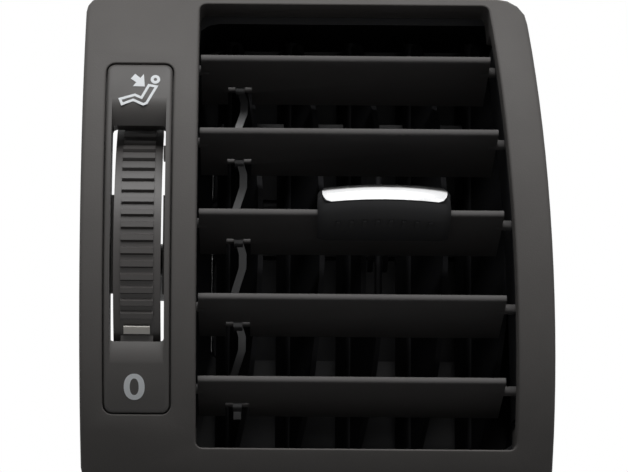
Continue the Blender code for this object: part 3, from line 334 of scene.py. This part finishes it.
# Thumbwheel: a ribbed sector in dark satin plastic that turns on a steel axle in the surround's
# arms. A pale bar is let into its rim and shows how far the shutter stands open.
WHEEL_DARK = (0.050, 0.046, 0.045)
WHEEL_LIGHT = (0.064, 0.060, 0.058)
wheel_plastic = moulded_plastic("wheel_plastic_finish", WHEEL_DARK, WHEEL_LIGHT, (0.4, 0.52),
                                0.3 * MM, 0.008 * MM, 0.4)
dress("thumbwheel", wheel_plastic, 0.1 * MM)
marker_paint = moulded_plastic("marker_paint", (0.82, 0.79, 0.74), (0.88, 0.85, 0.80), (0.4, 0.55),
                               0.3 * MM, 0.008 * MM)
dress("thumbwheel_marker", marker_paint, 0.1 * MM)


def zinc_plate():
    """Zinc-plated steel: pale metal with faint crystals and drawn lines."""
    mat = bpy.data.materials.new("zinc_plate_finish")
    mat.use_nodes = True
    tree = mat.node_tree
    shader = tree.nodes["Principled BSDF"]
    shader.inputs["Metallic"].default_value = 1.0
    place = tree.nodes.new("ShaderNodeTexCoord")
    crystals = tree.nodes.new("ShaderNodeTexVoronoi")
    crystals.inputs["Scale"].default_value = 900.0
    lines = tree.nodes.new("ShaderNodeTexNoise")
    lines.inputs["Scale"].default_value = 2400.0
    tint = tree.nodes.new("ShaderNodeMix")
    tint.data_type = "RGBA"
    tint.inputs["A"].default_value = (0.50, 0.50, 0.51, 1.0)
    tint.inputs["B"].default_value = (0.63, 0.63, 0.62, 1.0)
    rough = tree.nodes.new("ShaderNodeMapRange")
    rough.inputs["To Min"].default_value = 0.28
    rough.inputs["To Max"].default_value = 0.46
    tree.links.new(place.outputs["Object"], crystals.inputs["Vector"])
    tree.links.new(place.outputs["Object"], lines.inputs["Vector"])
    tree.links.new(crystals.outputs["Color"], tint.inputs["Factor"])
    tree.links.new(tint.outputs["Result"], shader.inputs["Base Color"])
    tree.links.new(lines.outputs["Fac"], rough.inputs["Value"])
    tree.links.new(rough.outputs["Result"], shader.inputs["Roughness"])
    return mat


zinc_steel = zinc_plate()
dress("wheel_axle", zinc_steel, 0.15 * MM)

# Horizontal vanes: five aerofoil blades in charcoal satin plastic on an arc, each with two pivot
# pins and a small crank pin behind. Their pale front edges catch the light from above.
VANE_DARK = (0.118, 0.114, 0.113)
VANE_LIGHT = (0.138, 0.134, 0.133)
vane_plastic = moulded_plastic("vane_plastic_finish", VANE_DARK, VANE_LIGHT, (0.56, 0.68),
                               0.35 * MM, 0.01 * MM, 0.03)
for place in range(1, 6):
    dress(f"horizontal_vane_{place}", vane_plastic, 0.12 * MM)

# Link bars: thin unpainted acetal strips, slightly translucent grey, snapped over the crank pins.
# One wavy bar ties the horizontal vanes, one flat bar the vertical vanes.
LINK_DARK = (0.034, 0.034, 0.036)
LINK_LIGHT = (0.048, 0.048, 0.050)
link_plastic = moulded_plastic("link_plastic_finish", LINK_DARK, LINK_LIGHT, (0.3, 0.42),
                               0.5 * MM, 0.006 * MM, 0.5)
dress("vane_link", link_plastic, 0.12 * MM)
dress("vertical_vane_link", link_plastic, 0.12 * MM)

# Slider knob: a soft-touch black sleeve on the middle vane, ribbed underneath for the thumb, with a
# bright strip let into its nose. Its fork reaches back to the middle vertical vane.
KNOB_DARK = (0.014, 0.014, 0.015)
KNOB_LIGHT = (0.020, 0.020, 0.021)
knob_soft = moulded_plastic("knob_soft_finish", KNOB_DARK, KNOB_LIGHT, (0.6, 0.74),
                            0.22 * MM, 0.01 * MM, 0.25)
dress("knob_body", knob_soft, 0.2 * MM)
dress("knob_fork", link_plastic, 0.15 * MM)


def satin_chrome():
    """Bright satin plating with the faint unevenness of plated plastic."""
    mat = bpy.data.materials.new("satin_chrome_finish")
    mat.use_nodes = True
    tree = mat.node_tree
    shader = tree.nodes["Principled BSDF"]
    shader.inputs["Metallic"].default_value = 1.0
    place = tree.nodes.new("ShaderNodeTexCoord")
    haze = tree.nodes.new("ShaderNodeTexNoise")
    haze.inputs["Scale"].default_value = 420.0
    haze.inputs["Detail"].default_value = 4.0
    tint = tree.nodes.new("ShaderNodeMix")
    tint.data_type = "RGBA"
    tint.inputs["A"].default_value = (0.76, 0.77, 0.78, 1.0)
    tint.inputs["B"].default_value = (0.84, 0.84, 0.84, 1.0)
    rough = tree.nodes.new("ShaderNodeMapRange")
    rough.inputs["To Min"].default_value = 0.16
    rough.inputs["To Max"].default_value = 0.28
    tree.links.new(place.outputs["Object"], haze.inputs["Vector"])
    tree.links.new(haze.outputs["Fac"], tint.inputs["Factor"])
    tree.links.new(tint.outputs["Result"], shader.inputs["Base Color"])
    tree.links.new(haze.outputs["Fac"], rough.inputs["Value"])
    tree.links.new(rough.outputs["Result"], shader.inputs["Roughness"])
    return mat


dress("knob_trim", satin_chrome(), 0.1 * MM)

# Vertical vanes: five upright blades behind the horizontal ones, on shafts in the housing's roof
# and floor. The middle one has a window with the drive bar that the knob's fork holds.
blade_plastic = moulded_plastic("blade_plastic_finish", (0.013, 0.013, 0.0145), (0.019, 0.019, 0.0205),
                                (0.5, 0.62), 0.5 * MM, 0.01 * MM, 0.12)
for place in range(1, 6):
    dress(f"vertical_vane_{place}", blade_plastic, 0.12 * MM)

# Shutter: two flaps in the collar that the wheel closes over rods, each faced with foam. Black
# mouldings with cranks on their left ends, the rods in the same acetal as the link bars.
dress("shutter_flap_upper", duct_plastic, 0.15 * MM)
dress("shutter_flap_lower", duct_plastic, 0.15 * MM)
dress("shutter_link", link_plastic, 0.12 * MM)
dress("thumbwheel_link", link_plastic, 0.12 * MM)
FOAM_REACH = 0.55 * MM
FOAM_CORNER = 3.0 * MM
FOAM_MEETING = 0.35 * MM
FOAM_STEP = 2.5 * MM
FOAM_PROFILE = ((0.6, 0.0), (1.0, 0.0), (1.0, 0.55), (0.992, 0.85), (0.97, 1.0), (0.6, 1.0))


def open_cell_foam():
    """Dark polyurethane foam: small open cells, dull, with painted shade that darkens each cell's
    hollow and leaves the cell walls lighter.
    """
    mat = bpy.data.materials.new("foam_finish")
    mat.use_nodes = True
    tree = mat.node_tree
    shader = tree.nodes["Principled BSDF"]
    shader.inputs["Roughness"].default_value = 0.95
    shader.inputs["Specular IOR Level"].default_value = 0.15
    shader.inputs["Sheen Weight"].default_value = 0.15
    place = tree.nodes.new("ShaderNodeTexCoord")
    cells = tree.nodes.new("ShaderNodeTexVoronoi")
    cells.inputs["Scale"].default_value = 1500.0
    large = tree.nodes.new("ShaderNodeTexVoronoi")
    large.inputs["Scale"].default_value = 640.0
    cell_depth_and_shade = tree.nodes.new("ShaderNodeMath")
    cell_depth_and_shade.operation = "ADD"
    tint = tree.nodes.new("ShaderNodeMix")
    tint.data_type = "RGBA"
    tint.inputs["A"].default_value = (0.016, 0.016, 0.018, 1.0)
    tint.inputs["B"].default_value = (0.085, 0.085, 0.09, 1.0)
    bump = tree.nodes.new("ShaderNodeBump")
    bump.inputs["Distance"].default_value = 0.35 * MM
    bump.inputs["Strength"].default_value = 0.8
    for texture in (cells, large):
        tree.links.new(place.outputs["Object"], texture.inputs["Vector"])
    tree.links.new(cells.outputs["Distance"], cell_depth_and_shade.inputs[0])
    tree.links.new(large.outputs["Distance"], cell_depth_and_shade.inputs[1])
    # The cells' depth also sets the colour: painted shade, dark in each cell's hollow and lighter on
    # its raised walls.
    tree.links.new(cell_depth_and_shade.outputs[0], tint.inputs["Factor"])
    tree.links.new(tint.outputs["Result"], shader.inputs["Base Color"])
    tree.links.new(cell_depth_and_shade.outputs[0], bump.inputs["Height"])
    tree.links.new(bump.outputs["Normal"], shader.inputs["Normal"])
    return mat


foam = open_cell_foam()


def rounded_rectangle(low_x, high_x, low_z, high_z, foot_radius, top_radius, steps=6):
    """Closed outline in X and Z, counter-clockwise, with its own radius at foot and top."""
    out = []
    corners = ((high_x, low_z, -0.5, foot_radius), (high_x, high_z, 0.0, top_radius),
               (low_x, high_z, 0.5, top_radius), (low_x, low_z, 1.0, foot_radius))
    for x, z, start, radius in corners:
        cx = x - math.copysign(radius, x - (low_x + high_x) / 2)
        cz = z - math.copysign(radius, z - (low_z + high_z) / 2)
        for k in range(steps + 1):
            turn = math.pi * (start + 0.5 * k / steps)
            out.append((cx + radius * math.cos(turn), cz + radius * math.sin(turn)))
    return out


for level in ("upper", "lower"):
    low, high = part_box(f"shutter_foam_{level}")
    pad = bmesh.new()
    radii = (FOAM_MEETING, FOAM_CORNER) if level == "upper" else (FOAM_CORNER, FOAM_MEETING)
    outline = dense_loop(rounded_rectangle(low.x - FOAM_REACH, high.x + FOAM_REACH, low.z - FOAM_REACH,
                                           high.z + FOAM_REACH, *radii), FOAM_STEP)
    middle = ((low.x + high.x) / 2, (low.z + high.z) / 2)
    rings = []
    for share, depth in FOAM_PROFILE:
        ring = []
        for x, z in outline:
            point = (middle[0] + (x - middle[0]) * share, low.y + (high.y - low.y) * depth,
                     middle[1] + (z - middle[1]) * share)
            ring.append(pad.verts.new(point))
        rings.append(ring)
    skin(pad, rings)
    pad.faces.new(rings[0])
    pad.faces.new(rings[-1])
    facing = finish_mesh(f"foam_facing_{level}", pad, foam, f"flap_{level}")
    mould_edges(facing, 0.0)
    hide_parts(f"shutter_foam_{level}")

# Duct seal: a foam strip glued round the collar with its ends butted at the bottom. It is squeezed
# between the collar and the dashboard's duct and keeps the joint tight.
low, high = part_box("duct_seal")
SEAL_STRIP = 3.0 * MM
SEAL_CORNER = 7.6 * MM
SEAL_STEP = 2.0 * MM
SEAL_LUMPS = 0.05
SEAL_PROFILE = ((0.0, 0.0), (0.0, 0.6), (0.06, 0.9), (0.2, 1.0),
                (0.8, 1.0), (0.94, 0.9), (1.0, 0.6), (1.0, 0.0))
lumps = random.Random(7)
seal = bmesh.new()
sections = []
inner_line = dense_loop(rounded_rectangle(low.x + SEAL_STRIP, high.x - SEAL_STRIP, low.z + SEAL_STRIP,
                                          high.z - SEAL_STRIP, SEAL_CORNER - SEAL_STRIP,
                                          SEAL_CORNER - SEAL_STRIP), SEAL_STEP)
heart = Vector(((low.x + high.x) / 2, (low.z + high.z) / 2))
for depth, height in SEAL_PROFILE:
    ring = []
    for k, (x, z) in enumerate(inner_line):
        before = Vector(inner_line[k - 1])
        after = Vector(inner_line[(k + 1) % len(inner_line)])
        way = (after - before).normalized()
        side = Vector((way.y, -way.x))
        rise = SEAL_STRIP * height * (1.0 - SEAL_LUMPS * lumps.random())
        y = low.y + (high.y - low.y) * depth
        ring.append(seal.verts.new((x + side.x * rise, y, z + side.y * rise)))
    sections.append(ring)
skin(seal, sections, closed=True)
strip = finish_mesh("duct_seal_foam", seal, foam, "root")
mould_edges(strip, 0.0)
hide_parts("duct_seal")

# Bezel screws: zinc-plated pan-head screws with a cross recess and a coarse thread for plastic,
# driven from behind through the housing's ears into the bezel's bosses.
HEAD_RADIUS = 3.0 * MM
HEAD_HEIGHT = 1.8 * MM
SHANK_RADIUS = 1.5 * MM
THREAD_DEPTH = 0.32 * MM
THREAD_PITCH = 1.1 * MM
THREAD_ROWS = 8
CROSS_REACH = 1.55 * MM
CROSS_HALF = 0.32 * MM
CROSS_DEPTH = 1.1 * MM
CROSS_TAPER = 0.55
ROUND_STEPS = 32


def turned_ring(bm, middle, y, radius_at):
    """Ring of points round the screw's axis; radius_at gives the radius at a part of a turn."""
    ring = []
    for k in range(ROUND_STEPS):
        turn = k / ROUND_STEPS
        radius, angle = radius_at(turn), 2 * math.pi * turn
        ring.append(bm.verts.new((middle[0] + radius * math.cos(angle), y,
                                  middle[1] + radius * math.sin(angle))))
    return ring


def thread_radius(y, turn):
    """Radius of the shank where the climbing ridge of the thread runs round it."""
    phase = (y / THREAD_PITCH - turn) % 1.0
    ridge = max(0.0, 1.0 - abs(phase - 0.5) * 4.0)
    return SHANK_RADIUS - THREAD_DEPTH * (1.0 - ridge)


def threaded_screw(name, middle, head_y, tip_y):
    """Head and shank turned about +Y, the thread as a ridge that climbs round the shank."""
    bm = bmesh.new()
    crown = head_y + HEAD_HEIGHT
    profile = [(0.25 * MM, tip_y), (0.9 * MM, tip_y + 0.8 * MM)]
    rings = []
    for radius, y in profile:
        rings.append(turned_ring(bm, middle, y, lambda turn: radius))
    thread_from = tip_y + 0.9 * MM
    rows = int((head_y - 0.4 * MM - thread_from) / (THREAD_PITCH / THREAD_ROWS))
    for row in range(rows):
        y = thread_from + row * THREAD_PITCH / THREAD_ROWS
        rings.append(turned_ring(bm, middle, y, lambda turn: thread_radius(y, turn)))
    head = [(SHANK_RADIUS, head_y - 0.3 * MM), (SHANK_RADIUS, head_y), (HEAD_RADIUS - 0.1 * MM, head_y),
            (HEAD_RADIUS, head_y + 0.15 * MM), (HEAD_RADIUS, head_y + 0.7 * MM),
            (HEAD_RADIUS * 0.93, head_y + 1.2 * MM), (HEAD_RADIUS * 0.78, crown - 0.18 * MM)]
    for radius, y in head:
        rings.append(turned_ring(bm, middle, y, lambda turn: radius))
    skin(bm, rings)
    bm.faces.new(rings[0])
    rim = rings[-1]
    cross = []
    for quarter in range(4):
        turn = math.pi / 2 * quarter
        for along, across in ((CROSS_REACH, -CROSS_HALF), (CROSS_REACH, CROSS_HALF),
                              (CROSS_HALF, CROSS_HALF)):
            x = along * math.cos(turn) - across * math.sin(turn)
            z = along * math.sin(turn) + across * math.cos(turn)
            cross.append((x, z))
    top = [bm.verts.new((middle[0] + x, crown - 0.02 * MM, middle[1] + z)) for x, z in cross]
    foot = [bm.verts.new((middle[0] + x * CROSS_TAPER, crown - CROSS_DEPTH,
                          middle[1] + z * CROSS_TAPER)) for x, z in cross]
    fill = [bm.edges.get((rim[k], rim[(k + 1) % len(rim)])) for k in range(len(rim))]
    fill += [bm.edges.new((top[k], top[(k + 1) % len(top)])) for k in range(len(top))]
    bmesh.ops.triangle_fill(bm, edges=fill, use_beauty=True)
    skin(bm, [top, foot])
    bm.faces.new(foot)
    screw = finish_mesh(name, bm, zinc_steel, "root")
    mould_edges(screw, 0.0)
    return screw


for number in (1, 2, 3):
    low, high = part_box(f"bezel_screw_{number}")
    middle = ((low.x + high.x) / 2, (low.z + high.z) / 2)
    screw = threaded_screw(f"pan_head_screw_{number}", middle, high.y - HEAD_HEIGHT, low.y)
    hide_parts(f"bezel_screw_{number}")

# Studio: a pale floor well below the vent, white surroundings, one soft lamp above the front and
# weaker ones from the side and the rear. The camera looks up from a little below the vent.
FLOOR_Z = -1.0
FLOOR_HALF = 30.0
FLOOR_BASE = (0.15, 0.15, 0.15, 1.0)
FLOOR_WHITE = 0.85
WORLD_STRENGTH = 0.045
AIM = (0.06, 0.0, 0.0)


def shown_share(tree, share):
    """Output that is share on camera, glossy and transmission rays and zero on all others."""
    path = tree.nodes.new("ShaderNodeLightPath")
    either = tree.nodes.new("ShaderNodeMath")
    either.operation = "MAXIMUM"
    any_of_three = tree.nodes.new("ShaderNodeMath")
    any_of_three.operation = "MAXIMUM"
    scaled = tree.nodes.new("ShaderNodeMath")
    scaled.operation = "MULTIPLY"
    scaled.inputs[1].default_value = share
    tree.links.new(path.outputs["Is Camera Ray"], either.inputs[0])
    tree.links.new(path.outputs["Is Glossy Ray"], either.inputs[1])
    tree.links.new(either.outputs[0], any_of_three.inputs[0])
    tree.links.new(path.outputs["Is Transmission Ray"], any_of_three.inputs[1])
    tree.links.new(any_of_three.outputs[0], scaled.inputs[0])
    return scaled.outputs[0]


floor_mesh = bmesh.new()
bmesh.ops.create_grid(floor_mesh, x_segments=1, y_segments=1, size=FLOOR_HALF)
mesh = bpy.data.meshes.new("floor")
floor_mesh.to_mesh(mesh)
floor_mesh.free()
floor = bpy.data.objects.new("floor", mesh)
floor.location = (0.06, 0.0, FLOOR_Z)
bpy.context.scene.collection.objects.link(floor)
pale = bpy.data.materials.new("pale_floor")
pale.use_nodes = True
tree = pale.node_tree
tree.nodes["Principled BSDF"].inputs["Base Color"].default_value = FLOOR_BASE
tree.nodes["Principled BSDF"].inputs["Roughness"].default_value = 0.9
glow = tree.nodes.new("ShaderNodeEmission")
glow.inputs["Color"].default_value = (1.0, 1.0, 1.0, 1.0)
lift = tree.nodes.new("ShaderNodeMixShader")
tree.links.new(shown_share(tree, FLOOR_WHITE), lift.inputs[0])
tree.links.new(tree.nodes["Principled BSDF"].outputs[0], lift.inputs[1])
tree.links.new(glow.outputs[0], lift.inputs[2])
tree.links.new(lift.outputs[0], tree.nodes["Material Output"].inputs["Surface"])
mesh.materials.append(pale)

world = bpy.data.worlds.new("studio")
bpy.context.scene.world = world
world.use_nodes = True
tree = world.node_tree
tree.nodes.clear()
output = tree.nodes.new("ShaderNodeOutputWorld")
soft = tree.nodes.new("ShaderNodeBackground")
soft.inputs["Color"].default_value = (1.0, 1.0, 1.0, 1.0)
soft.inputs["Strength"].default_value = WORLD_STRENGTH
white = tree.nodes.new("ShaderNodeBackground")
white.inputs["Color"].default_value = (1.0, 1.0, 1.0, 1.0)
white.inputs["Strength"].default_value = 1.0
choice = tree.nodes.new("ShaderNodeMixShader")
tree.links.new(shown_share(tree, 1.0), choice.inputs[0])
tree.links.new(soft.outputs[0], choice.inputs[1])
tree.links.new(white.outputs[0], choice.inputs[2])
tree.links.new(choice.outputs[0], output.inputs["Surface"])


def soft_lamp(name, place, aim, size, power):
    """Square area lamp of a size and power, turned to the vent."""
    data = bpy.data.lights.new(name, "AREA")
    data.shape = "SQUARE"
    data.size = size
    data.energy = power
    lamp = bpy.data.objects.new(name, data)
    lamp.location = place
    way = Vector(aim) - Vector(place)
    lamp.rotation_euler = way.to_track_quat("-Z", "Y").to_euler()
    bpy.context.scene.collection.objects.link(lamp)


soft_lamp("overhead_lamp", (0.06, -0.76, 0.88), AIM, 0.6, 11.5)
soft_lamp("side_lamp", (0.9, -0.7, 0.35), AIM, 0.6, 0.6)
soft_lamp("rear_lamp", (0.3, 1.1, 0.7), AIM, 0.6, 5.0)

CAMERA_PLACE = (0.04342, -0.79558, -0.12064)
CAMERA_PITCH = math.radians(8.449)
CAMERA_ROLL = math.radians(0.454)
FOCAL_PIXELS = 3001.7
PRINCIPAL_SHIFT = 60.95
PICTURE_WIDTH = 628
camera_data = bpy.data.cameras.new("camera")
camera_data.sensor_width = 36.0
camera_data.lens = FOCAL_PIXELS / PICTURE_WIDTH * 36.0
camera_data.shift_x = PRINCIPAL_SHIFT / PICTURE_WIDTH
camera_data.clip_start = 0.05
camera = bpy.data.objects.new("camera", camera_data)
turn = Matrix.Rotation(math.pi / 2 + CAMERA_PITCH, 4, "X") @ Matrix.Rotation(CAMERA_ROLL, 4, "Z")
camera.matrix_world = Matrix.Translation(CAMERA_PLACE) @ turn
bpy.context.scene.collection.objects.link(camera)
bpy.context.scene.camera = camera
bpy.context.scene.view_settings.view_transform = "Standard"
